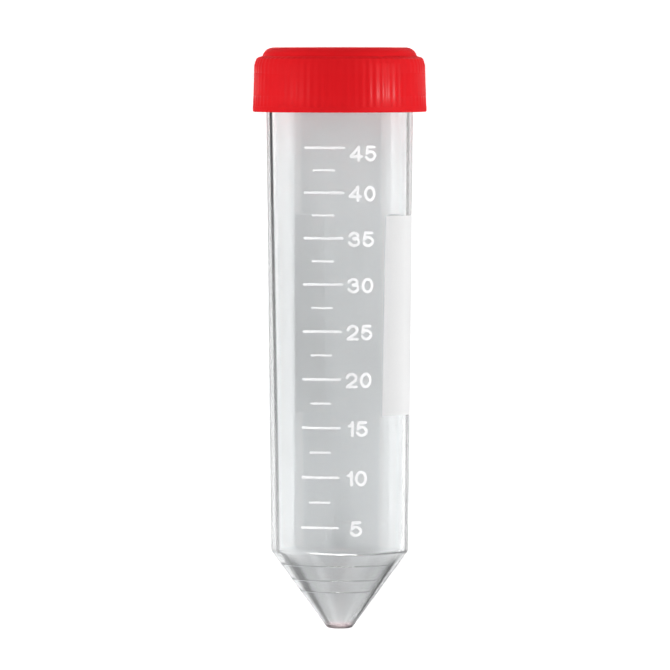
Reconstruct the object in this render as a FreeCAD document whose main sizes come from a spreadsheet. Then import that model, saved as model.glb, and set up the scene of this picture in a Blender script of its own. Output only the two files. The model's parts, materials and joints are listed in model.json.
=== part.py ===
import FreeCAD, Part
import math
import os
import re

import Sketcher

# A 50 ml conical tube with its screw cap, in millimetres.
#
# Every piece is drawn standing up on its own axis: +Z runs from the tip of the cone to the cap,
# -Y is the front, where the printed scale is, and +X is to the right of the scale.
# The finished pieces are then laid down together, as the closed tube comes to rest on a bench:
# on its side, on the cap's rim band and the shoulder of the barrel, with the scale facing up.

doc = FreeCAD.newDocument("conical_tube")
sheet = doc.addObject("Spreadsheet::Sheet", "Sizes")

SIZES = [
    # tube: outside
    ("tube_length", 114.0, "tip to mouth rim"),
    ("tip_radius", 2.4, "outer radius of the flat tip, before its edge is rounded"),
    ("tip_round", 0.8, "rounding of the tip's edge"),
    ("cone_height", 15.6, "tip to the corner of the shoulder"),
    ("shoulder_radius", 13.72, "outer radius where the cone meets the barrel"),
    ("shoulder_round", 1.2, "rounding of the shoulder, outside and inside"),
    ("neck_radius", 14.65, "outer radius of the neck, where the barrel's draft ends"),
    ("neck_length", 10.5, "straight neck below the mouth rim"),
    ("rim_round", 0.3, "rounding of the mouth rim's two edges"),
    # tube: inside
    ("shoulder_wall", 1.24, "barrel wall at the shoulder"),
    ("neck_wall", 1.15, "wall of the neck"),
    ("shoulder_rise", 0.25, "inner corner of the shoulder above the outer one"),
    ("floor_thickness", 1.0, "plastic below the cavity"),
    ("floor_radius", 1.8, "radius of the cavity's flat floor"),
    ("floor_round", 0.5, "rounding of the cavity's floor"),
    # tube: fine lines moulded round the cone
    ("line_low", 7.6, "tip to the lowest line"),
    ("line_middle", 10.0, "tip to the middle line"),
    ("line_high", 13.0, "tip to the highest line"),
    ("line_size", 0.12, "half the width of a line"),
    # tube: thread of the neck
    ("thread_height", 0.85, "root to crest"),
    ("thread_pitch", 3.2, "rise in one turn"),
    ("thread_turns", 1.75, "number of turns"),
    ("thread_below_rim", 1.6, "mouth rim to the middle of the last turn"),
    ("thread_foot", 1.7, "width at the root"),
    ("thread_crest", 0.6, "width at the crest"),
    # cap
    ("thread_clearance", 0.25, "thread crest to the bore of the cap"),
    ("skirt_depth", 10.5, "mouth rim to the lower edge of the cap"),
    ("skirt_wall", 1.29, "wall between the ribs at the rim band"),
    ("skirt_taper", 0.24, "how much narrower the skirt is at its top"),
    ("skirt_lead_in", 0.4, "chamfer at the mouth of the cap"),
    ("band_height", 1.1, "smooth rim band"),
    ("band_step", 0.05, "rim band proud of the ribs"),
    ("band_round", 0.25, "rounding of the rim band's lower edge"),
    ("lid_thickness", 2.36, "mouth rim to the top of the cap"),
    ("lid_recess", 0.86, "hollow under the middle of the lid"),
    ("crown_step", 1.84, "ribs at the rim band to the side of the crown"),
    ("crown_height", 1.7, "top of the cap to the ledge round the crown"),
    ("crown_round", 2.2, "rounding of the crown"),
    ("ledge_fall", 0.38, "fall of the ledge from the crown to the ribs' upper corner"),
    ("ledge_step", 0.66, "ribs at the rim band to the ribs' upper corner"),
    ("haunch_height", 3.36, "top of the cap to where the ribs start to lean in"),
    ("rib_height", 0.3, "ribs proud of the skirt"),
    ("rib_angle", 2.2, "width of a rib, in degrees"),
    ("rib_count", 72, "ribs round the cap"),
    ("plug_clearance", 0.1, "sealing lip to the bore of the neck"),
    ("plug_wall", 0.9, "wall of the sealing lip"),
    ("plug_depth", 2.6, "sealing lip below the mouth rim"),
    # printed scale and writing panel
    ("ink_thickness", 0.06, "printed film"),
    ("scale_first", 5.0, "lowest numbered mark, in millilitres"),
    ("scale_last", 45.0, "highest numbered mark, in millilitres"),
    ("scale_step", 5.0, "millilitres from one numbered mark to the next"),
    ("mark_lift", 0.58, "marks above the level that they stand for"),
    ("dash_height", 0.5, "thickness of a numbered mark"),
    ("dash_span", 32.6, "length of a numbered mark, in degrees round the barrel"),
    ("half_dash_height", 0.42, "thickness of a mark between numbers"),
    ("half_dash_span", 17.9, "length of a mark between numbers, in degrees"),
    ("dash_angle", -17.2, "front line to the middle of the lowest mark, in degrees"),
    ("print_twist", 5.05, "turn of the print round the barrel from lowest to highest mark, in degrees"),
    ("numeral_height", 3.1, "height of a numeral"),
    ("numeral_width", 2.5, "width of a round numeral"),
    ("numeral_stroke", 0.56, "thickness of a numeral's strokes"),
    ("numeral_gap", 0.42, "gap between two numerals"),
    ("numeral_angle", 30.8, "middle of a mark to the middle of its number, in degrees"),
    ("numeral_drop", 0.2, "middle of a number below its mark"),
    ("last_numeral_drop", 1.15, "the same for the highest number"),
    ("panel_height", 40.2, "length of the writing panel along the tube"),
    ("panel_bottom", 42.8, "tip to the lower edge of the panel"),
    ("panel_start", 38.0, "front line to the panel's near edge, in degrees"),
    ("panel_span", 92.0, "width of the panel, in degrees"),
]

for row, (alias, value, note) in enumerate(SIZES, start=1):
    sheet.set(f"A{row}", alias)
    sheet.set(f"B{row}", str(value))
    sheet.setAlias(f"B{row}", alias)
    sheet.set(f"C{row}", note)
doc.recompute()


def size(expression):
    """The value of an expression on the sheet's aliases."""
    return float(sheet.evalExpression(expression))


def linked(expression):
    """The same expression as another object writes it, with each alias looked up on the sheet."""
    return re.sub(r"[a-z]+(?:_[a-z]+)+", r"Sizes.\g<0>", expression)


# Lengths that several pieces share, as expressions on the sheet.
CONE_SLOPE = "(shoulder_radius - tip_radius) / cone_height"
NECK_BASE = "tube_length - neck_length"
BORE_RADIUS = "neck_radius - neck_wall"
SHOULDER_BORE = "shoulder_radius - shoulder_wall"
SHOULDER_FLOOR = "cone_height + shoulder_rise"
CAP_BORE = "neck_radius + thread_height + thread_clearance"
CAP_BASE = "tube_length - skirt_depth"
CAP_TOP = "tube_length + lid_thickness"
BAND_TOP = f"{CAP_BASE} + band_height"
SKIRT_RADIUS = f"{CAP_BORE} + skirt_wall"
RIB_RADIUS = f"{SKIRT_RADIUS} + rib_height"
BAND_RADIUS = f"{RIB_RADIUS} + band_step"
CROWN_RADIUS = f"{RIB_RADIUS} - crown_step"
CROWN_ROOT = f"{CROWN_RADIUS} - crown_round / 2"


def origin_feature(body, role):
    return next(feature for feature in body.Origin.OriginFeatures if feature.Role == role)


def section(body, name, corners):
    """A closed outline in the body's XZ plane. A corner is (radius, height), each an expression."""
    sketch = body.newObject("Sketcher::SketchObject", name)
    sketch.AttachmentSupport = [(origin_feature(body, "XZ_Plane"), "")]
    sketch.MapMode = "FlatFace"
    places = [FreeCAD.Vector(size(radius), size(height), 0) for radius, height in corners]
    for index, place in enumerate(places):
        sketch.addGeometry(Part.LineSegment(place, places[(index + 1) % len(places)]))
    for index in range(len(places)):
        following = (index + 1) % len(places)
        sketch.addConstraint(Sketcher.Constraint("Coincident", index, 2, following, 1))
    for index, (radius, height) in enumerate(corners):
        for kind, label, expression in (("DistanceX", "radius", radius), ("DistanceY", "height", height)):
            value = size(expression)
            number = sketch.addConstraint(Sketcher.Constraint(kind, -1, 1, index, 1, value))
            sketch.renameConstraint(number, f"{label}_{index}")
            sketch.setExpression(f"Constraints.{label}_{index}", linked(expression))
    return sketch


def revolve(body, name, corners, angle="360"):
    """The outline turned about the body's Z axis, half of the angle to each side."""
    sketch = section(body, f"{name}_outline", corners)
    feature = body.newObject("PartDesign::Revolution", name)
    feature.Profile = sketch
    feature.ReferenceAxis = (sketch, ["V_Axis"])
    feature.Midplane = True
    feature.setExpression("Angle", linked(angle))
    doc.recompute()
    return feature


def round_edges(body, name, kind, corners, amount):
    """Rounds or bevels the circular edges at the given corners."""
    base = body.Tip
    wanted = [(size(radius), size(height)) for radius, height in corners]
    edges = []
    for number, edge in enumerate(base.Shape.Edges, start=1):
        if not isinstance(edge.Curve, Part.Circle):
            continue
        ring = (edge.Curve.Radius, edge.Curve.Center.z)
        if any(math.dist(ring, place) < 1e-4 for place in wanted):
            edges.append(f"Edge{number}")
    feature = body.newObject(f"PartDesign::{kind}", name)
    feature.Base = (base, edges)
    feature.setExpression("Radius" if kind == "Fillet" else "Size", linked(amount))
    doc.recompute()
    return feature


def new_body(label):
    body = doc.addObject("PartDesign::Body", label)
    body.Label = label
    return body


# ---------------------------------------------------------------------------------------------
# Tube: one clear moulding, a drafted barrel with a conical end and a threaded neck.

def cone_radius(height):
    return f"tip_radius + {CONE_SLOPE} * ({height})"


tube = new_body("tube")
revolve(tube, "tube_wall", [
    ("0", "0"),
    ("tip_radius", "0"),
    ("shoulder_radius", "cone_height"),
    ("neck_radius", NECK_BASE),
    ("neck_radius", "tube_length"),
    (BORE_RADIUS, "tube_length"),
    (BORE_RADIUS, NECK_BASE),
    (SHOULDER_BORE, SHOULDER_FLOOR),
    ("floor_radius", "floor_thickness"),
    ("0", "floor_thickness"),
])
round_edges(tube, "tip_rounding", "Fillet", [("tip_radius", "0")], "tip_round")
round_edges(tube, "floor_rounding", "Fillet", [("floor_radius", "floor_thickness")], "floor_round")
round_edges(tube, "shoulder_rounding", "Fillet",
            [("shoulder_radius", "cone_height"), (SHOULDER_BORE, SHOULDER_FLOOR)], "shoulder_round")
round_edges(tube, "rim_rounding", "Fillet",
            [("neck_radius", "tube_length"), (BORE_RADIUS, "tube_length")], "rim_round")

for line in ("line_low", "line_middle", "line_high"):
    surface = cone_radius(line)
    revolve(tube, line, [
        (f"{surface} + line_size", line),
        (surface, f"{line} + line_size"),
        (f"{surface} - line_size", line),
        (surface, f"{line} - line_size"),
    ])

thread_start = "tube_length - thread_below_rim - thread_turns * thread_pitch"
thread_outline = section(tube, "thread_outline", [
    ("neck_radius - neck_wall / 4", f"{thread_start} - thread_foot / 2"),
    ("neck_radius + thread_height", f"{thread_start} - thread_crest / 2"),
    ("neck_radius + thread_height", f"{thread_start} + thread_crest / 2"),
    ("neck_radius - neck_wall / 4", f"{thread_start} + thread_foot / 2"),
])
thread = tube.newObject("PartDesign::AdditiveHelix", "thread")
thread.Profile = thread_outline
thread.ReferenceAxis = (thread_outline, ["V_Axis"])
thread.Mode = "pitch-turns-angle"
thread.setExpression("Pitch", linked("thread_pitch"))
thread.setExpression("Turns", linked("thread_turns"))
doc.recompute()

# ---------------------------------------------------------------------------------------------
# Cap: one red moulding, a lid with a sealing lip under it and a ribbed skirt.

cap = new_body("cap")
plug_radius = f"{BORE_RADIUS} - plug_clearance"
revolve(cap, "lid", [
    ("0", "tube_length + lid_recess"),
    (f"{plug_radius} - plug_wall", "tube_length + lid_recess"),
    (f"{plug_radius} - plug_wall", "tube_length - plug_depth"),
    (plug_radius, "tube_length - plug_depth"),
    (plug_radius, "tube_length"),
    (CROWN_RADIUS, "tube_length"),
    (CROWN_RADIUS, CAP_TOP),
    ("0", CAP_TOP),
])
round_edges(cap, "crown_rounding", "Fillet", [(CROWN_RADIUS, CAP_TOP)],
            "min(crown_round; 0.95 * lid_thickness)")

haunch_radius = f"{SKIRT_RADIUS} - skirt_taper"
ledge_radius = f"{SKIRT_RADIUS} - ledge_step"
ledge_top = f"{CAP_TOP} - crown_height"
revolve(cap, "skirt", [
    (CAP_BORE, CAP_BASE),
    (BAND_RADIUS, CAP_BASE),
    (BAND_RADIUS, BAND_TOP),
    (SKIRT_RADIUS, BAND_TOP),
    (haunch_radius, f"{CAP_TOP} - haunch_height"),
    (ledge_radius, f"{ledge_top} - ledge_fall - rib_height"),
    (CROWN_ROOT, f"{ledge_top} - rib_height"),
    (CROWN_ROOT, "tube_length"),
    (CAP_BORE, "tube_length"),
])
round_edges(cap, "band_rounding", "Fillet", [(BAND_RADIUS, CAP_BASE)], "band_round")
round_edges(cap, "skirt_bevel", "Chamfer", [(CAP_BORE, CAP_BASE)], "skirt_lead_in")

rib = revolve(cap, "rib", [
    (f"{SKIRT_RADIUS} - skirt_wall / 2", BAND_TOP),
    (RIB_RADIUS, BAND_TOP),
    (f"{haunch_radius} + rib_height", f"{CAP_TOP} - haunch_height"),
    (f"{ledge_radius} + rib_height", f"{ledge_top} - ledge_fall"),
    (CROWN_ROOT, ledge_top),
    (CROWN_ROOT, f"{ledge_top} - 2 * rib_height"),
    (f"{SKIRT_RADIUS} - skirt_wall / 2", f"{CAP_TOP} - haunch_height"),
], "rib_angle")
ribs = cap.newObject("PartDesign::PolarPattern", "ribs")
ribs.Originals = [rib]
ribs.Axis = (origin_feature(cap, "Z_Axis"), [""])
ribs.Angle = 360
ribs.setExpression("Occurrences", linked("rib_count"))
cap.Tip = ribs
doc.recompute()

# ---------------------------------------------------------------------------------------------
# Print: a thin white film of ink on the barrel. Each mark is a stencil that crosses the film, and
# the film is kept where a stencil covers it.

STENCIL_START = "neck_radius / 2"
STENCIL_END = "1.2 * neck_radius"


def barrel_radius(height):
    """Outer radius of the barrel at a height above the tip."""
    share = (height - size("cone_height")) / (size(NECK_BASE) - size("cone_height"))
    return size("shoulder_radius") + share * (size("neck_radius") - size("shoulder_radius"))


def volume_below(height):
    """What the cavity holds up to a height in the barrel, in cubic millimetres."""
    def frustum(lower, upper, rise):
        return math.pi * rise / 3 * (lower**2 + lower * upper + upper**2)

    shoulder = size(SHOULDER_FLOOR)
    share = (height - shoulder) / (size(NECK_BASE) - shoulder)
    level_radius = size(SHOULDER_BORE) + share * (size(BORE_RADIUS) - size(SHOULDER_BORE))
    in_cone = frustum(size("floor_radius"), size(SHOULDER_BORE), shoulder - size("floor_thickness"))
    return in_cone + frustum(size(SHOULDER_BORE), level_radius, height - shoulder)


def fill_height(millilitres):
    """How high the liquid stands, found by halving the barrel."""
    low, high = size(SHOULDER_FLOOR), size("tube_length")
    while high - low > 1e-6:
        middle = (low + high) / 2
        if volume_below(middle) < 1000 * millilitres:
            low = middle
        else:
            high = middle
    return low


def facing(angle, height, lean=0.0):
    """A placement on the tube's axis with X to the right round the barrel, Y up and Z straight out."""
    turn = FreeCAD.Rotation(FreeCAD.Vector(0, 0, 1), angle)
    upright = FreeCAD.Rotation(FreeCAD.Vector(1, 0, 0), 90)
    tilt = FreeCAD.Rotation(FreeCAD.Vector(0, 0, 1), -lean)
    return FreeCAD.Placement(FreeCAD.Vector(0, 0, height), turn * upright * tilt)


# The strokes of each numeral, as runs between points on a box of width 1 and height 1. A run of
# three points is an arc through the middle one. The first value is the numeral's width as a share
# of a round numeral's.
NUMERALS = {
    "1": (0.50, [[((0, 0.74), (0.55, 0.81), (1, 1)), ((1, 1), (1, 0))]]),
    "2": (1.00, [[((0.02, 0.72), (0.5, 1), (0.98, 0.72)), ((0.98, 0.72), (0.90, 0.52), (0.64, 0.36)),
                  ((0.64, 0.36), (0, 0)), ((0, 0), (1, 0))]]),
    "3": (1.00, [[((0.03, 0.77), (0.46, 1), (0.92, 0.76)), ((0.92, 0.76), (0.80, 0.60), (0.42, 0.54))],
                 [((0.42, 0.54), (0.98, 0.36), (0.86, 0.10)), ((0.86, 0.10), (0.40, 0.01), (0, 0.24))]]),
    "4": (1.10, [[((0.74, 0), (0.74, 1))], [((0.74, 1), (0, 0.28)), ((0, 0.28), (1, 0.28))]]),
    "5": (1.00, [[((0.90, 1), (0.16, 1)), ((0.16, 1), (0.05, 0.50)),
                  ((0.05, 0.50), (0.60, 0.64), (1, 0.32)), ((1, 0.32), (0.52, 0), (0, 0.22))]]),
    "0": (1.00, []),
}


def oval(width, height):
    """The face of an upright ellipse."""
    top, side = FreeCAD.Vector(0, height / 2, 0), FreeCAD.Vector(width / 2, 0, 0)
    ellipse = Part.Ellipse(top, side, FreeCAD.Vector())
    return Part.Face(Part.Wire(ellipse.toShape()))


def straight_stroke(start, end, stroke):
    """A bar from one point to another, with square ends half a stroke beyond them."""
    ahead = (end - start).normalize() * stroke / 2
    aside = FreeCAD.Vector(-ahead.y, ahead.x, 0)
    corners = [start - ahead + aside, start - ahead - aside, end + ahead - aside, end + ahead + aside]
    return Part.Face(Part.makePolygon(corners + corners[:1]))


def numeral_faces(character, width):
    """The flat faces of a numeral's strokes, centred on the origin."""
    stroke = size("numeral_stroke")
    reach = FreeCAD.Vector(width - stroke, size("numeral_height") - stroke, 0)
    if character == "0":
        outside = oval(width, size("numeral_height"))
        return [outside.cut(oval(reach.x - stroke, reach.y - stroke)).Faces[0]]
    faces = []
    for path in NUMERALS[character][1]:
        runs = [[FreeCAD.Vector((across - 0.5) * reach.x, (up - 0.5) * reach.y, 0) for across, up in run]
                for run in path]
        if len(runs) == 1:
            faces.append(straight_stroke(*runs[0], stroke))
            continue
        edges = [(Part.LineSegment(*run) if len(run) == 2 else Part.Arc(*run)).toShape() for run in runs]
        faces.append(Part.Face(Part.Wire(edges).makeOffset2D(stroke / 2)))
    return faces


def number_stencil(number, angle, height):
    """A number's numerals side by side, centred at an angle and a height on the barrel."""
    widths = [size("numeral_width") * NUMERALS[character][0] for character in number]
    start = -(sum(widths) + size("numeral_gap") * (len(number) - 1)) / 2
    inset = FreeCAD.Placement(FreeCAD.Vector(0, 0, size(STENCIL_START)), FreeCAD.Rotation())
    depth = FreeCAD.Vector(0, 0, size(f"{STENCIL_END} - {STENCIL_START}"))
    solids = []
    for character, width in zip(number, widths):
        turn = math.degrees((start + width / 2) / barrel_radius(height))
        strokes = [face.extrude(depth) for face in numeral_faces(character, width)]
        solid = strokes[0].multiFuse(strokes[1:]) if len(strokes) > 1 else strokes[0]
        solid.Placement = facing(angle + turn, height) * inset
        solids.append(solid)
        start += width + size("numeral_gap")
    stencil = doc.addObject("Part::Feature", f"number_{number}")
    stencil.Shape = Part.makeCompound(solids)
    return stencil


def dash_stencil(name, span, thickness, angle, height):
    """A sector of a disc, as wide and as thick as the mark."""
    stencil = doc.addObject("Part::Cylinder", name)
    stencil.setExpression("Radius", linked(STENCIL_END))
    stencil.setExpression("Angle", linked(span))
    stencil.setExpression("Height", linked(thickness))
    left_end = angle - size(span) / 2 - 90
    stencil.Placement = FreeCAD.Placement(FreeCAD.Vector(0, 0, height - size(thickness) / 2),
                                          FreeCAD.Rotation(FreeCAD.Vector(0, 0, 1), left_end))
    return stencil


def film_surface(name, thickness):
    """A solid cone that fills the barrel out to the film's inner or outer surface."""
    cone = doc.addObject("Part::Cone", name)
    cone.setExpression("Radius1", linked(f"shoulder_radius + {thickness}"))
    cone.setExpression("Radius2", linked(f"neck_radius + {thickness}"))
    cone.setExpression("Height", linked(f"{NECK_BASE} - cone_height"))
    cone.Placement.Base.z = size("cone_height")
    return cone


film = doc.addObject("Part::Cut", "film")
film.Base = film_surface("film_outside", "ink_thickness")
film.Tool = film_surface("film_inside", "0")

def mark_height(millilitres):
    """Where the mark for a volume is printed."""
    return fill_height(millilitres) + size("mark_lift")


lowest = mark_height(size("scale_first"))
twist_rate = size("print_twist") / (mark_height(size("scale_last")) - lowest)
stencils = []
mark_count = round(size("(scale_last - scale_first) / scale_step"))
for index in range(2 * mark_count + 1):
    volume = size("scale_first") + index * size("scale_step") / 2
    height = mark_height(volume)
    angle = size("dash_angle") + twist_rate * (height - lowest)
    if index % 2:
        name = f"half_dash_{index}"
        stencils.append(dash_stencil(name, "half_dash_span", "half_dash_height", angle, height))
        continue
    stencils.append(dash_stencil(f"dash_{index}", "dash_span", "dash_height", angle, height))
    drop = size("last_numeral_drop" if index == 2 * mark_count else "numeral_drop")
    stencils.append(number_stencil(f"{volume:.0f}", angle + size("numeral_angle"), height - drop))

stencil_set = doc.addObject("Part::Compound", "stencils")
stencil_set.Links = stencils
scale_print = doc.addObject("Part::Common", "scale_print")
scale_print.Label = "scale_print"
scale_print.Base = film
scale_print.Tool = stencil_set

# The panel's two long edges lean with the rest of the print.
panel_middle = size("panel_bottom + panel_height / 2")
lean = math.degrees(math.atan(math.radians(twist_rate) * barrel_radius(panel_middle)))
panel_sides = []
for name, angle, side in (("panel_near", "panel_start", 0), ("panel_far", "panel_start + panel_span", 1)):
    box = doc.addObject("Part::Box", name)
    box.setExpression("Length", linked("2 * neck_radius"))
    box.setExpression("Width", linked("panel_height"))
    box.setExpression("Height", linked("4 * neck_radius"))
    reach = size("2 * neck_radius")
    corner = FreeCAD.Vector(-side * reach, size("-panel_height / 2"), -reach)
    box.Placement = facing(size(angle), panel_middle, lean) * FreeCAD.Placement(corner, FreeCAD.Rotation())
    panel_sides.append(box)

writing_panel = doc.addObject("Part::MultiCommon", "writing_panel")
writing_panel.Label = "writing_panel"
writing_panel.Shapes = [film] + panel_sides
doc.recompute()

# ---------------------------------------------------------------------------------------------
# Rest: the closed tube lies on the shoulder's rounding and on the rounding of the rim band. Both
# are circles in a section through the axis, and the bench is the line that touches the two.

def shoulder_centre():
    """Centre of the shoulder's outer rounding, as (radius, height)."""
    corner = (size("shoulder_radius"), size("cone_height"))
    cone_lean = math.atan(size(CONE_SLOPE))
    barrel_rise = size(NECK_BASE) - size("cone_height")
    barrel_lean = math.atan((size("neck_radius") - size("shoulder_radius")) / barrel_rise)
    outward = [(math.cos(angle), -math.sin(angle)) for angle in (cone_lean, barrel_lean)]
    scale = size("shoulder_round") / (1 + math.cos(cone_lean - barrel_lean))
    return tuple(corner[axis] - scale * (outward[0][axis] + outward[1][axis]) for axis in (0, 1))


shoulder = shoulder_centre()
band = (size(f"{BAND_RADIUS} - band_round"), size(f"{CAP_BASE} + band_round"))
rise = math.atan2(band[0] - shoulder[0], band[1] - shoulder[1])
step = math.asin((size("shoulder_round") - size("band_round")) / math.dist(shoulder, band))
rest_angle = rise - step
axis_height = band[0] * math.cos(rest_angle) - band[1] * math.sin(rest_angle) + size("band_round")
lying = FreeCAD.Rotation(FreeCAD.Vector(1, 0, 0), math.degrees(rest_angle) - 90)

pieces = [tube, cap, scale_print, writing_panel]
for piece in pieces:
    piece.Placement = FreeCAD.Placement(FreeCAD.Vector(0, 0, axis_height), lying)
doc.recompute()

# The origin is on the bench, under the middle of the object's outline.
box = Part.makeCompound([tube.Shape, cap.Shape]).optimalBoundingBox(False)
centre = FreeCAD.Vector(box.Center.x, box.Center.y, 0)
for piece in pieces:
    piece.Placement.Base -= centre
doc.recompute()

for item in doc.Objects:
    if "Invalid" in item.State or "Error" in item.State:
        raise RuntimeError(f"{item.Name} failed to compute: {item.State}")
for piece in pieces:
    if piece.Shape.isNull() or not piece.Shape.isValid():
        raise RuntimeError(f"{piece.Label} has no valid shape")

os.makedirs("parts", exist_ok=True)
for piece in pieces:
    piece.Shape.exportStep(f"parts/{piece.Label}.step")
    bounds = piece.Shape.optimalBoundingBox(False)
    print(f"{piece.Label}: {len(piece.Shape.Solids)} solids, {piece.Shape.Volume:.1f} mm3, "
          f"x {bounds.XMin:.2f} to {bounds.XMax:.2f}, y {bounds.YMin:.2f} to {bounds.YMax:.2f}, "
          f"z {bounds.ZMin:.3f} to {bounds.ZMax:.2f}")
tip = tube.Placement.Base
print(f"the axis starts at y {tip.y:.3f}, z {tip.z:.3f} and rises {math.degrees(rest_angle):.4f} degrees")
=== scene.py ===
"""A 50 ml conical tube with its screw cap on, lying on its side with the printed scale facing up."""

import json
import math

import bmesh
import bpy
from mathutils import Matrix, Vector


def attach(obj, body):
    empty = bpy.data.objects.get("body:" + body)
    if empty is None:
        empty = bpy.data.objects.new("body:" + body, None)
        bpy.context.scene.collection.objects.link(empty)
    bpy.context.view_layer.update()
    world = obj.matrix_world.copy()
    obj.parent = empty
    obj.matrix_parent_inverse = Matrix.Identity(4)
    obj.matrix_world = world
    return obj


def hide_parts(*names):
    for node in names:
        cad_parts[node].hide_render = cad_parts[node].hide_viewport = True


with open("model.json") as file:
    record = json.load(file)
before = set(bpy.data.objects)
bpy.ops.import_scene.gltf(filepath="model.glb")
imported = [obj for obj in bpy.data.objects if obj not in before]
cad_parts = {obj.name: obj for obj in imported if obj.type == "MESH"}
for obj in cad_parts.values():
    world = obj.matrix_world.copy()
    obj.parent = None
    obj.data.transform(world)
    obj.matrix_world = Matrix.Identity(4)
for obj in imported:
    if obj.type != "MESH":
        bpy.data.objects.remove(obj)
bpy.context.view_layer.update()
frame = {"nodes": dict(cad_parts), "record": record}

# ---------------------------------------------------------------------------------------------
# Tube. One injection moulding in clear polystyrene: a barrel with a little draft, a conical end
# with three fine lines, and a neck with a thread. It is modelled upright in millimetres, with +Z
# from the tip to the cap and -Y to the front, and then laid down on the axis of the cap's mount.
TUBE_LENGTH = 114.0
TUBE_SIDES = 192
TIP_RADIUS = 2.4
TIP_ROUND = 0.5
CONE_HEIGHT = 15.6
SHOULDER_RADIUS = 13.72
SHOULDER_WALL = 1.24
SHOULDER_RISE = 0.25
SHOULDER_ROUND = 0.39
NECK_BASE = 103.5
NECK_RADIUS = 14.65
NECK_WALL = 1.15
BORE_RADIUS = NECK_RADIUS - NECK_WALL
RIM_ROUND = 0.3
FLOOR_THICKNESS = 1.0
FLOOR_RADIUS = 1.8
FLOOR_ROUND = 0.25
TUBE_SMOOTH = 12
LINE_HEIGHTS = (7.6, 10.0, 13.0)
LINE_WIDTH = 0.22
LINE_PROUD = 0.08
LINE_SECTION = ((-0.5, 0), (-0.25, 0.8), (0, 1), (0.25, 0.8), (0.5, 0))
LINE_START = -100
LINE_END = 52
THREAD_HEIGHT = 0.85
THREAD_PITCH = 3.2
THREAD_TURNS = 1.75
THREAD_FOOT = 1.7
THREAD_CREST = 0.6
THREAD_SINK = 0.3
THREAD_STEPS = 168
THREAD_FADE = 12
RIDGE_SMOOTH = 30
THREAD_BELOW_RIM = 1.6
THREAD_START = TUBE_LENGTH - THREAD_BELOW_RIM - THREAD_PITCH * THREAD_TURNS
LID_THICKNESS = 2.36
CAP_TOP = TUBE_LENGTH + LID_THICKNESS

cap_mount = next(mount for mount in frame["record"]["mounts"] if mount["name"] == "cap_top")
axis = Vector(cap_mount["axis"]).normalized()
tip = Vector(cap_mount["pos_m"]) - axis * CAP_TOP / 1000
right = Vector((1, 0, 0))
LYING = Matrix.Translation(tip) @ Matrix((right, axis.cross(right), axis)).transposed().to_4x4()


def activate(*pieces):
    """Selects these pieces only and makes the last one active."""
    bpy.ops.object.select_all(action="DESELECT")
    for piece in pieces:
        piece.select_set(True)
    bpy.context.view_layer.objects.active = pieces[-1]


def begin(name, radius, height, sides):
    """Starts a turned piece as a flat disc, open for editing with the disc selected."""
    bpy.ops.object.select_all(action="DESELECT")
    bpy.ops.mesh.primitive_circle_add(vertices=sides, radius=radius, fill_type="NGON")
    piece = bpy.context.active_object
    piece.name = piece.data.name = name
    bpy.ops.object.mode_set(mode="EDIT")
    bpy.ops.transform.translate(value=(0, 0, height))
    return piece


def draw_out(start, corners):
    """Extrudes the selected disc from its (radius, height) through each corner in turn."""
    radius, height = start
    for next_radius, next_height in corners:
        bpy.ops.mesh.extrude_region_move(TRANSFORM_OT_translate={"value": (0, 0, next_height - height)})
        share = next_radius / radius
        bpy.ops.transform.resize(value=(share, share, 1), center_override=(0, 0, next_height))
        radius, height = next_radius, next_height


def arc(centre, radius, start, end, steps):
    """Corners of an arc about a (radius, height) centre, between two angles in degrees."""
    corners = []
    for step in range(steps + 1):
        angle = math.radians(start + (end - start) * step / steps)
        corners.append((centre[0] + radius * math.cos(angle), centre[1] + radius * math.sin(angle)))
    return corners


def select_vertices(piece, wanted):
    """Selects the vertices that wanted(radius, height, degrees from the front) holds for."""
    bpy.ops.mesh.select_mode(type="VERT")
    mesh = bmesh.from_edit_mesh(piece.data)
    for vertex in mesh.verts:
        place = vertex.co
        vertex.select = wanted(place.xy.length, place.z, math.degrees(math.atan2(place.x, -place.y)))
    mesh.select_flush_mode()
    bmesh.update_edit_mesh(piece.data)


def round_ring(piece, radius, height, offset, segments):
    """Rounds the circular edge at a corner of the outline."""
    select_vertices(piece, lambda r, h, turn: abs(r - radius) < 0.01 and abs(h - height) < 0.01)
    bpy.ops.mesh.bevel(offset=offset, segments=segments, affect="EDGES")


def finish_mesh(piece, smooth_below):
    """Closes editing with all faces pointing outwards and edges below an angle shaded smooth."""
    bpy.ops.mesh.select_all(action="SELECT")
    bpy.ops.mesh.remove_doubles(threshold=0.0005)
    bpy.ops.mesh.normals_make_consistent(inside=False)
    bpy.ops.object.mode_set(mode="OBJECT")
    bpy.ops.object.shade_smooth_by_angle(angle=math.radians(smooth_below))


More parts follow.
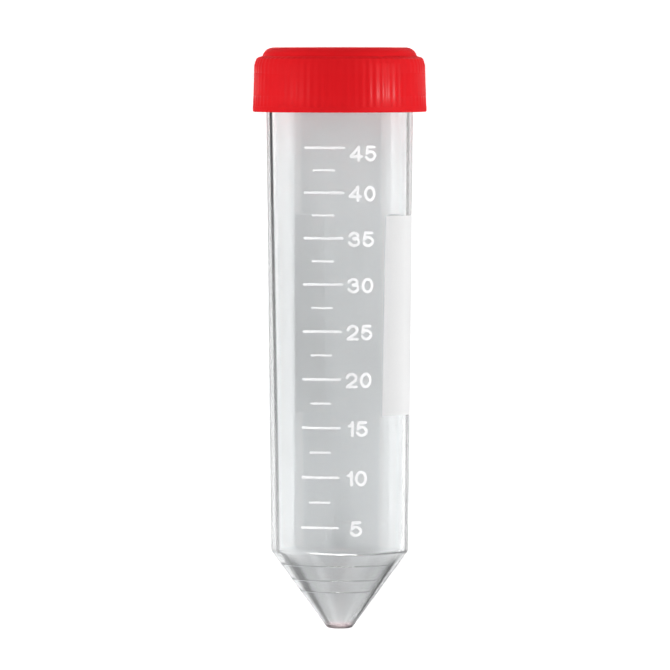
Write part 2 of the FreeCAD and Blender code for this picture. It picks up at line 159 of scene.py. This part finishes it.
def thread_ridge(name, wall_radius, crest_radius, start):
    """A closed helical ridge with a trapezoid section that sinks into the wall at both ends."""
    foot_radius = wall_radius - math.copysign(THREAD_SINK, crest_radius - wall_radius)
    bpy.ops.object.select_all(action="DESELECT")
    bpy.ops.mesh.primitive_plane_add(size=1)
    ridge = bpy.context.active_object
    ridge.name = ridge.data.name = name
    for vertex in ridge.data.vertices:
        radius, width = (foot_radius, THREAD_FOOT) if vertex.co.x < 0 else (crest_radius, THREAD_CREST)
        vertex.co = (radius, 0, start + math.copysign(width / 2, vertex.co.y))
    screw = ridge.modifiers.new("screw", "SCREW")
    screw.axis = "Z"
    screw.angle = math.radians(360 * THREAD_TURNS)
    screw.screw_offset = THREAD_PITCH * THREAD_TURNS
    screw.steps = screw.render_steps = THREAD_STEPS
    screw.use_merge_vertices = False
    bpy.ops.object.modifier_apply(modifier="screw")
    for index, vertex in enumerate(ridge.data.vertices):
        step = index // 4
        height = min(1, (step + 0.5) / THREAD_FADE, (THREAD_STEPS - 0.5 - step) / THREAD_FADE)
        radius = vertex.co.xy.length
        share = (foot_radius + (radius - foot_radius) * height) / radius
        vertex.co.x *= share
        vertex.co.y *= share
    bpy.ops.object.mode_set(mode="EDIT")
    bpy.ops.mesh.select_all(action="SELECT")
    bpy.ops.mesh.fill_holes(sides=4)
    finish_mesh(ridge, RIDGE_SMOOTH)
    return ridge


def lay_down(piece):
    """Lays an upright piece in millimetres where the CAD has it."""
    piece.matrix_world = LYING @ Matrix.Scale(0.001, 4)
    activate(piece)
    bpy.ops.object.transform_apply(location=True, rotation=True, scale=True)


cone_slope = (SHOULDER_RADIUS - TIP_RADIUS) / CONE_HEIGHT
shoulder_bore = (SHOULDER_RADIUS - SHOULDER_WALL, CONE_HEIGHT + SHOULDER_RISE)
outside = []
for line in LINE_HEIGHTS:
    for share, proud in LINE_SECTION:
        height = line + share * LINE_WIDTH
        outside.append((TIP_RADIUS + cone_slope * height + proud * LINE_PROUD, height))
outside += [
    (SHOULDER_RADIUS, CONE_HEIGHT),
    (NECK_RADIUS, NECK_BASE),
    (NECK_RADIUS, TUBE_LENGTH),
]
inside = [
    (BORE_RADIUS, TUBE_LENGTH),
    (BORE_RADIUS, NECK_BASE),
    shoulder_bore,
    (FLOOR_RADIUS, FLOOR_THICKNESS),
]
tube = begin("clear_tube", TIP_RADIUS, 0, TUBE_SIDES)
draw_out((TIP_RADIUS, 0), outside + inside)

# The lines on the cone run round the front only, so the rest of each ring is pressed flat again.
for line in LINE_HEIGHTS:
    for share, proud in LINE_SECTION:
        height = line + share * LINE_WIDTH
        select_vertices(tube, lambda r, h, turn: (
            abs(h - height) < 0.001 and not LINE_START < turn < LINE_END))
        cone = TIP_RADIUS + cone_slope * height
        flat = cone / (cone + proud * LINE_PROUD)
        bpy.ops.transform.resize(value=(flat, flat, 1), center_override=(0, 0, height))

round_ring(tube, TIP_RADIUS, 0, TIP_ROUND, 6)
round_ring(tube, SHOULDER_RADIUS, CONE_HEIGHT, SHOULDER_ROUND, 8)
round_ring(tube, NECK_RADIUS, TUBE_LENGTH, RIM_ROUND, 4)
round_ring(tube, BORE_RADIUS, TUBE_LENGTH, RIM_ROUND, 4)
round_ring(tube, *shoulder_bore, SHOULDER_ROUND, 8)
round_ring(tube, FLOOR_RADIUS, FLOOR_THICKNESS, FLOOR_ROUND, 4)
finish_mesh(tube, TUBE_SMOOTH)

thread = thread_ridge("neck_thread", NECK_RADIUS, NECK_RADIUS + THREAD_HEIGHT, THREAD_START)
activate(tube)
union = tube.modifiers.new("union", "BOOLEAN")
union.operation = "UNION"
union.solver = "EXACT"
union.object = thread
bpy.ops.object.modifier_apply(modifier="union")
bpy.data.objects.remove(thread)
bpy.ops.object.mode_set(mode="EDIT")
finish_mesh(tube, TUBE_SMOOTH)

# The faces of the outer skin are marked, because the painted dark line of shade along the wall lies
# only there.
skin = tube.data.attributes.new("outer_skin", "FLOAT", "FACE")
for face in tube.data.polygons:
    skin.data[face.index].value = face.normal.xy.dot(face.center.xy) > 0
lay_down(tube)


class Value:
    """A shader socket that works in sums: each operator adds its Math node."""

    def __init__(self, finish, socket):
        self.finish = finish
        self.socket = socket

    def __add__(self, other):
        return self.finish.math("ADD", self, other)

    def __sub__(self, other):
        return self.finish.math("SUBTRACT", self, other)

    def __rsub__(self, other):
        return self.finish.math("SUBTRACT", other, self)

    def __mul__(self, other):
        return self.finish.math("MULTIPLY", self, other)

    __radd__ = __add__
    __rmul__ = __mul__


class Finish:
    """The nodes of a material or of the world, built one by one."""

    def __init__(self, name, owner=None):
        self.owner = owner or bpy.data.materials.new(name)
        self.owner.use_nodes = True
        self.tree = self.owner.node_tree
        self.tree.nodes.clear()

    def node(self, kind, settings=None, sockets=None, output=0):
        """Adds a node with its settings first, then the values or links of its sockets."""
        node = self.tree.nodes.new(kind)
        for name, value in (settings or {}).items():
            setattr(node, name, value)
        for name, value in (sockets or {}).items():
            if isinstance(value, Value):
                self.tree.links.new(value.socket, node.inputs[name])
            else:
                node.inputs[name].default_value = value
        return Value(self, node.outputs[output]) if node.outputs else None

    def math(self, operation, first, second):
        """Adds a Math node on two values, sockets or numbers."""
        return self.node("ShaderNodeMath", {"operation": operation}, {0: first, 1: second})

    def length(self, place):
        """How far along the tube a place is: 0 at the tip and 1 at the mouth."""
        along = {0: place, 1: axis}
        reach = self.node("ShaderNodeVectorMath", {"operation": "DOT_PRODUCT"}, along, output="Value")
        return (reach - tip.dot(axis)) * (1000 / TUBE_LENGTH)

    def ramp(self, value, stops):
        """A grey level that follows a value through (value, level) stops."""
        ramp = self.node("ShaderNodeValToRGB", None, {"Fac": value})
        elements = ramp.socket.node.color_ramp.elements
        while len(elements) < len(stops):
            elements.new(1.0)
        for element, (position, level) in zip(elements, stops):
            element.position = position
            element.color = (level, level, level, 1.0)
        return ramp

    def blend(self, share, first, second):
        """Mixes two colours by a share."""
        colours = {0: share, 6: first, 7: second}
        return self.node("ShaderNodeMix", {"data_type": "RGBA"}, colours, output=2)

    def noise(self, place, scale, detail, stretch=(1, 1, 1)):
        """Noise at a place, drawn out along an axis where stretch is small."""
        stretched = self.node("ShaderNodeMapping", None, {"Vector": place, "Scale": stretch})
        sockets = {"Vector": stretched, "Scale": scale, "Detail": detail}
        return self.node("ShaderNodeTexNoise", None, sockets)

    def bump(self, height, strength, distance):
        """A normal that a height disturbs."""
        sockets = {"Height": height, "Strength": strength, "Distance": distance}
        return self.node("ShaderNodeBump", None, sockets)


# The barrel is polished, and the cone is tinted a shade greyer as painted shade. Painted shade, a
# dark finish, is mixed into the outer skin where it is seen nearly edge on. It draws a dark line
# along each side, which drifts along the barrel and differs between left and right. Down the cone it
# is wider and fades inwards, and a fine painted dark line marks the shoulder. The very tip is rougher
# and painted faintly pink with the cap's red light.
BARREL_PAINTED_LINE = ((0.0, 0.0), (0.585, 0.0), (0.625, 1.0), (0.685, 1.0), (0.73, 0.25), (1.0, 0.25))
BARREL_LEFT_DEPTH = ((0.14, 0.45), (0.9, 1.0))
BARREL_RIGHT_DEPTH = ((0.14, 0.4), (0.9, 0.6))
EDGE_SHIFT = 0.0325
EDGE_DRIFT = 0.1368
DRIFT_CENTRE = 0.595
DRIFT_START = 0.288
CONE_LEFT_PAINTED_SHADE = (
    (0.26, 0.0),
    (0.31, 0.2),
    (0.41, 0.36),
    (0.48, 0.7),
    (0.55, 0.7),
    (0.61, 0.48),
    (0.7, 0.1),
)
CONE_RIGHT_PAINTED_SHADE = (
    (0.28, 0.0),
    (0.35, 0.2),
    (0.43, 0.28),
    (0.52, 0.46),
    (0.59, 0.7),
    (0.66, 0.95),
    (0.74, 0.2),
)
CONE_SHARE = ((0.112, 1.0), (0.145, 0.0))
CONE_PAINTED_SHADE_SHARE = ((0.06, 1.0), (0.1, 0.7), (0.128, 0.4), (0.145, 0.0))
SHOULDER_PAINTED_LINE = ((0.1345, 0.0), (0.1365, 1.0), (0.1385, 1.0), (0.1405, 0.0))
SHOULDER_LEFT_LINE = ((0.4, 0.0), (0.5, 0.35))
SHOULDER_RIGHT_LINE = ((0.1, 0.0), (0.3, 0.65), (0.6, 0.75))
SIDE_SLOPE = 250
TIP_SHARE = ((0.005, 1.0), (0.011, 0.0))
TIP_ROUGHNESS = 0.4
BARREL_TINT = (0.98, 0.992, 0.997, 1.0)
CONE_PAINTED_SHADE_TINT = (0.84, 0.85, 0.855, 1.0)
TIP_PAINTED_RED_LIGHT = (1.0, 0.8, 0.82, 1.0)
PAINTED_SHADE_COLOUR = (0.02, 0.022, 0.024, 1.0)

clear = Finish("clear_plastic_finish")
place = clear.node("ShaderNodeTexCoord", output="Object")
across = clear.node("ShaderNodeSeparateXYZ", None, {"Vector": place}, output="X")
length = clear.length(place)
cone = clear.ramp(length, CONE_SHARE)
side = clear.math("MINIMUM", clear.math("MAXIMUM", across * SIDE_SLOPE, -1.0), 1.0)
right_share = side * 0.5 + 0.5
left_share = 1 - right_share
facing = clear.node("ShaderNodeLayerWeight", None, {"Blend": 0.5}, output="Facing")
drift = (clear.math("MAXIMUM", length, DRIFT_START) - DRIFT_CENTRE) * EDGE_DRIFT - EDGE_SHIFT
left_depth = clear.ramp(length, BARREL_LEFT_DEPTH) * left_share
right_depth = clear.ramp(length, BARREL_RIGHT_DEPTH) * right_share
barrel_painted_line = clear.ramp(facing + drift * side, BARREL_PAINTED_LINE) * (left_depth + right_depth)
cone_left = clear.ramp(facing, CONE_LEFT_PAINTED_SHADE) * left_share
cone_right = clear.ramp(facing, CONE_RIGHT_PAINTED_SHADE) * right_share
cone_painted_shade = cone_left + cone_right
shoulder_left = clear.ramp(facing, SHOULDER_LEFT_LINE) * left_share
shoulder_right = clear.ramp(facing, SHOULDER_RIGHT_LINE) * right_share
shoulder_painted_line = clear.ramp(length, SHOULDER_PAINTED_LINE) * (shoulder_left + shoulder_right)
outer = clear.node("ShaderNodeAttribute", {"attribute_name": "outer_skin"}, output="Fac")
seen_from_inside = clear.node("ShaderNodeNewGeometry", output="Backfacing")
smear = clear.noise(place, 90.0, 3.0)
scuffs = clear.noise(place, 900.0, 2.0, (1, 0.06, 1))
# The tip is made rough, and a painted pink of the cap's red light is mixed into its colour.
rough_tip_and_painted_red = clear.ramp(length, TIP_SHARE)
# The cone's wall is tinted greyer than the barrel's as painted shade, fading out towards the shoulder.
tint_and_cone_shade = clear.blend(clear.ramp(length, CONE_PAINTED_SHADE_SHARE), BARREL_TINT, CONE_PAINTED_SHADE_TINT)
clear_wall = clear.node("ShaderNodeBsdfPrincipled", None, {
    "Base Color": clear.blend(rough_tip_and_painted_red, tint_and_cone_shade, TIP_PAINTED_RED_LIGHT),
    "Roughness": 0.015 + smear * 0.03 + rough_tip_and_painted_red * TIP_ROUGHNESS,
    "IOR": 1.58,
    "Transmission Weight": 1.0,
    "Normal": clear.bump(scuffs, 0.05, 0.00002),
})
# A near-black surface, mixed in as the painted dark lines of shade.
painted_shade_surface = clear.node("ShaderNodeBsdfPrincipled", None, {
    "Base Color": PAINTED_SHADE_COLOUR,
    "Roughness": 0.5,
    "Specular IOR Level": 0.1,
})
# Where the painted shade lies: along the barrel's sides, down the cone and round the shoulder.
dark = clear.math("MAXIMUM", barrel_painted_line * (1 - cone) + cone_painted_shade * cone, shoulder_painted_line)
share = dark * outer * (1 - seen_from_inside)
surface = clear.node("ShaderNodeMixShader", None, {0: share, 1: clear_wall, 2: painted_shade_surface})
clear.node("ShaderNodeOutputMaterial", None, {"Surface": surface})
tube.data.materials.append(clear.owner)
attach(tube, "tube")
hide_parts("tube")

# ---------------------------------------------------------------------------------------------
# Print. White ink, screen printed on the barrel: the scale at the front and, to its right, a
# matt panel to write on. The CAD has both films at their places, so they only get their finish.
# The panel's level follows the angle at which it is seen, as painted shade: darker straight on,
# paler at a slant.
INK_AND_PANEL_SHADE_LEVELS = {
    "scale_print": ((0.0, 0.97), (1.0, 0.97)),
    "writing_panel": ((0.2, 0.64), (0.6, 0.8)),
}
FULL_INK = (1.0, 1.0, 1.0, 1.0)
WORN_INK = (0.96, 0.96, 0.97, 1.0)

for name, levels in INK_AND_PANEL_SHADE_LEVELS.items():
    ink = Finish(name + "_finish")
    place = ink.node("ShaderNodeTexCoord", output="Object")
    facing = ink.node("ShaderNodeLayerWeight", None, {"Blend": 0.5}, output="Facing")
    grain = ink.noise(place, 2500.0, 2.0)
    wear = ink.blend(grain, FULL_INK, WORN_INK)
    # The ink's level, with the panel's painted shade by angle of view, is multiplied by its wear.
    colour = ink.node("ShaderNodeMix", {"data_type": "RGBA", "blend_type": "MULTIPLY"}, {
        0: 1.0,
        6: ink.ramp(facing, levels),
        7: wear,
    }, output=2)
    surface = ink.node("ShaderNodeBsdfPrincipled", None, {
        "Base Color": colour,
        "Roughness": 0.5 + grain * 0.25,
        "Specular IOR Level": 0.1,
        "Normal": ink.bump(grain, 0.2, 0.00003),
    })
    ink.node("ShaderNodeOutputMaterial", None, {"Surface": surface})
    frame["nodes"][name].material_slots[0].material = ink.owner

# ---------------------------------------------------------------------------------------------
# Cap. One moulding in red polyethylene that screws over the neck, with fine shallow ribs for the
# fingers, a smooth band round its lower rim, a lip under the lid that seals the mouth, and the
# mark of the gate in the middle of its top.
GATE_NUB = 0.8
GATE_NUB_DEPTH = 0.15
GATE_RADIUS = 2.6
GATE_DEPTH = 0.4
CROWN_ROUND = 2.2
CROWN_RADIUS = 15.5
CROWN_HEIGHT = 1.7
LEDGE_TOP = CAP_TOP - CROWN_HEIGHT
LEDGE_RADIUS = 16.68
LEDGE_FALL = 0.38
HAUNCH_BELOW_TOP = 3.36
HAUNCH_HEIGHT = CAP_TOP - HAUNCH_BELOW_TOP
HAUNCH_RADIUS = 17.1
RIB_RADIUS = 17.34
RIB_HEIGHT = 0.06
RIB_COUNT = 72
SIDES_PER_RIB = 8
VALLEY_STEPS = ((0.5, 1.0, 1.5), (1.0, 1.5, 2.6))
SKIRT_DEPTH = 10.5
CAP_BASE = TUBE_LENGTH - SKIRT_DEPTH
BAND_RADIUS = 17.39
BAND_HEIGHT = 1.1
BAND_TOP = CAP_BASE + BAND_HEIGHT
BAND_ROUND = 0.25
CAP_BORE = 15.75
LEAD_IN = 0.4
LIP_CLEARANCE = 0.1
LIP_RADIUS = BORE_RADIUS - LIP_CLEARANCE
LIP_WALL = 0.9
LIP_BORE = LIP_RADIUS - LIP_WALL
LIP_DEPTH = 2.6
LIP_BASE = TUBE_LENGTH - LIP_DEPTH
LID_RECESS = 0.86
LID_UNDERSIDE = TUBE_LENGTH + LID_RECESS
LID_MIDDLE = 1.0
CAP_SMOOTH = 25

crown_centre = (CROWN_RADIUS - CROWN_ROUND, CAP_TOP - CROWN_ROUND)
ledge_angle = math.degrees(math.asin((LEDGE_TOP - crown_centre[1]) / CROWN_ROUND))
outside = [
    (GATE_NUB + 0.05, CAP_TOP - GATE_DEPTH),
    (GATE_RADIUS - 0.3, CAP_TOP - GATE_DEPTH),
    (GATE_RADIUS, CAP_TOP),
]
outside += arc(crown_centre, CROWN_ROUND, 90, ledge_angle, 10)
outside += [
    (LEDGE_RADIUS - 0.35, LEDGE_TOP - LEDGE_FALL * 0.7),
    (LEDGE_RADIUS, LEDGE_TOP - LEDGE_FALL - 0.15),
    (LEDGE_RADIUS + 0.2, HAUNCH_HEIGHT + 0.55),
    (HAUNCH_RADIUS, HAUNCH_HEIGHT - 0.2),
    (RIB_RADIUS, BAND_TOP + 0.12),
    (RIB_RADIUS, BAND_TOP + 0.04),
    (BAND_RADIUS, BAND_TOP),
    (BAND_RADIUS, CAP_BASE),
]
inside = [
    (CAP_BORE + LEAD_IN, CAP_BASE),
    (CAP_BORE, CAP_BASE + LEAD_IN),
    (CAP_BORE, TUBE_LENGTH),
    (LIP_RADIUS, TUBE_LENGTH),
    (LIP_RADIUS, LIP_BASE),
    (LIP_BORE, LIP_BASE),
    (LIP_BORE, LID_UNDERSIDE),
    (LID_MIDDLE, LID_UNDERSIDE),
]
cap = begin("red_cap", GATE_NUB, CAP_TOP - GATE_NUB_DEPTH, RIB_COUNT * SIDES_PER_RIB)
draw_out((GATE_NUB, CAP_TOP - GATE_NUB_DEPTH), outside + inside)
round_ring(cap, BAND_RADIUS, CAP_BASE, BAND_ROUND, 4)

# The valleys between the ribs are sunk into the skirt, their sides half as deep as their floors.
# Each step gives its share of the depth and how many degrees from a rib's middle it lies.
rib_pitch = 360 / RIB_COUNT
bpy.ops.mesh.select_all(action="SELECT")
bpy.ops.mesh.normals_make_consistent(inside=False)
for depth, near, far in VALLEY_STEPS:
    select_vertices(cap, lambda r, h, turn: (
        r > CROWN_RADIUS and BAND_TOP + 0.02 < h < LEDGE_TOP - 0.01
        and near < min(turn % rib_pitch, -turn % rib_pitch) < far))
    bpy.ops.transform.shrink_fatten(value=-depth * RIB_HEIGHT)
finish_mesh(cap, CAP_SMOOTH)

cap_thread_start = THREAD_START - THREAD_PITCH / 2
thread = thread_ridge("cap_thread", CAP_BORE, CAP_BORE - THREAD_HEIGHT, cap_thread_start)
activate(thread, cap)
bpy.ops.object.join()
lay_down(cap)

# The red is even but for a faint cloud, and glossiest half way up the ribs.
CAP_ROUGHNESS = ((0.918, 0.5), (0.938, 0.22), (0.975, 0.22), (0.992, 0.42))
CAP_RED = (0.75, 0.013, 0.018, 1.0)
CLOUDED_RED = (0.70, 0.011, 0.015, 1.0)

red = Finish("red_plastic_finish")
place = red.node("ShaderNodeTexCoord", output="Object")
cloud = red.noise(place, 60.0, 4.0)
grain = red.noise(place, 2200.0, 2.0)
length = red.length(place)
surface = red.node("ShaderNodeBsdfPrincipled", None, {
    "Base Color": red.blend(cloud, CAP_RED, CLOUDED_RED),
    "Roughness": red.ramp(length, CAP_ROUGHNESS) + cloud * 0.08,
    "Specular IOR Level": 0.012,
    "Normal": red.bump(grain, 0.08, 0.00002),
})
red.node("ShaderNodeOutputMaterial", None, {"Surface": surface})
cap.data.materials.append(red.owner)
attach(cap, "cap")
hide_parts("cap")

# ---------------------------------------------------------------------------------------------
# Table. A wide pale sheet that everything lies on. It looks white itself, but a light grey through
# the clear wall and in reflections, so that the tube reads against it.
TABLE_SIZE = 12
TABLE_COLOUR = (0.95, 0.95, 0.95, 1.0)
DIRECT_GLOW = 0.5
INDIRECT_GLOW = 0.11

bpy.ops.object.select_all(action="DESELECT")
bpy.ops.mesh.primitive_plane_add(size=TABLE_SIZE)
table = bpy.context.active_object
table.name = "table"
sheet = Finish("table_finish")
direct = sheet.node("ShaderNodeLightPath", output="Is Camera Ray")
glossy = sheet.node("ShaderNodeLightPath", output="Is Glossy Ray")
through = sheet.node("ShaderNodeLightPath", output="Is Transmission Ray")
surface = sheet.node("ShaderNodeBsdfPrincipled", None, {
    "Base Color": TABLE_COLOUR,
    "Roughness": 0.9,
    "Specular IOR Level": 0.0,
    "Emission Color": (1.0, 1.0, 1.0, 1.0),
    "Emission Strength": direct * DIRECT_GLOW + (glossy + through) * INDIRECT_GLOW,
})
sheet.node("ShaderNodeOutputMaterial", None, {"Surface": surface})
table.data.materials.append(sheet.owner)

# ---------------------------------------------------------------------------------------------
# Light. A dim studio with a pale wall that rises higher on the right, two lamps nearly overhead
# and one low on each side. Three more only gleam: two on the cap's ribs, one along the shoulder.
WALL_LEVELS = ((0.0, 1.1), (0.14, 1.1), (0.17, 0.25))
WALL_LEAN = 0.16
WALL_DIP = 0.04

world = bpy.data.worlds.new("studio")
bpy.context.scene.world = world
room = Finish("studio", world)
direction = room.node("ShaderNodeTexCoord", output="Generated")
across = room.node("ShaderNodeSeparateXYZ", None, {"Vector": direction}, output="X")
ahead = room.node("ShaderNodeSeparateXYZ", None, {"Vector": direction}, output="Y")
up = room.node("ShaderNodeSeparateXYZ", None, {"Vector": direction}, output="Z")
level = room.ramp(up - across * WALL_LEAN + ahead * WALL_DIP, WALL_LEVELS)
walls = room.node("ShaderNodeBackground", None, {"Color": level})
room.node("ShaderNodeOutputWorld", None, {"Surface": walls})


def lamp(name, place, width, length, level, gleams=False):
    """A soft lamp aimed at the tube that lights a white surface there to the given level."""
    data = bpy.data.lights.new(name, "AREA")
    data.shape = "RECTANGLE"
    data.size = length
    data.size_y = width
    data.energy = level * (math.pi * Vector(place).length) ** 2
    holder = bpy.data.objects.new(name, data)
    bpy.context.scene.collection.objects.link(holder)
    holder.location = place
    holder.rotation_euler = Vector(place).to_track_quat("Z", "Y").to_euler()
    holder.visible_glossy = gleams
    holder.visible_diffuse = not gleams
    holder.visible_transmission = False
    holder.visible_camera = False


lamp("left_high_lamp", (-0.45, 0, 1.53), 0.05, 0.6, 0.26)
lamp("right_high_lamp", (0.26, 0, 1.58), 0.05, 0.6, 0.25)
lamp("left_lamp", (-1.0, 0, 0.21), 0.3, 1.0, 0.48)
lamp("right_lamp", (1.0, 0, 0.21), 0.3, 1.0, 0.45)
lamp("cap_lamp", (0.875, 0.09, 0.485), 0.2, 0.03, 3.0, gleams=True)
lamp("cap_left_lamp", (-0.83, 0.09, 0.55), 0.1, 0.03, 0.6, gleams=True)
lamp("shoulder_lamp", (-0.3, -0.95, 0.85), 0.4, 2.0, 2.4, gleams=True)

# ---------------------------------------------------------------------------------------------
# Camera. It looks down on the lying tube from far off, level with the top of the cap. Both places
# are in metres on the upright tube.
SENSOR_WIDTH = 36
FOCAL_LENGTH = 494
CAMERA_PLACE = (0, -1.840, 0.1244)
CAMERA_AIM = (-0.00094, 0, 0.0588)

view = bpy.data.cameras.new("camera")
view.sensor_width = SENSOR_WIDTH
view.lens = FOCAL_LENGTH
camera = bpy.data.objects.new("camera", view)
bpy.context.scene.collection.objects.link(camera)
place = LYING @ Vector(CAMERA_PLACE)
back = (place - LYING @ Vector(CAMERA_AIM)).normalized()
across = axis.cross(back).normalized()
turned = Matrix((across, back.cross(across), back)).transposed().to_4x4()
camera.matrix_world = Matrix.Translation(place) @ turned
bpy.context.scene.camera = camera
bpy.context.scene.view_settings.view_transform = "Standard"
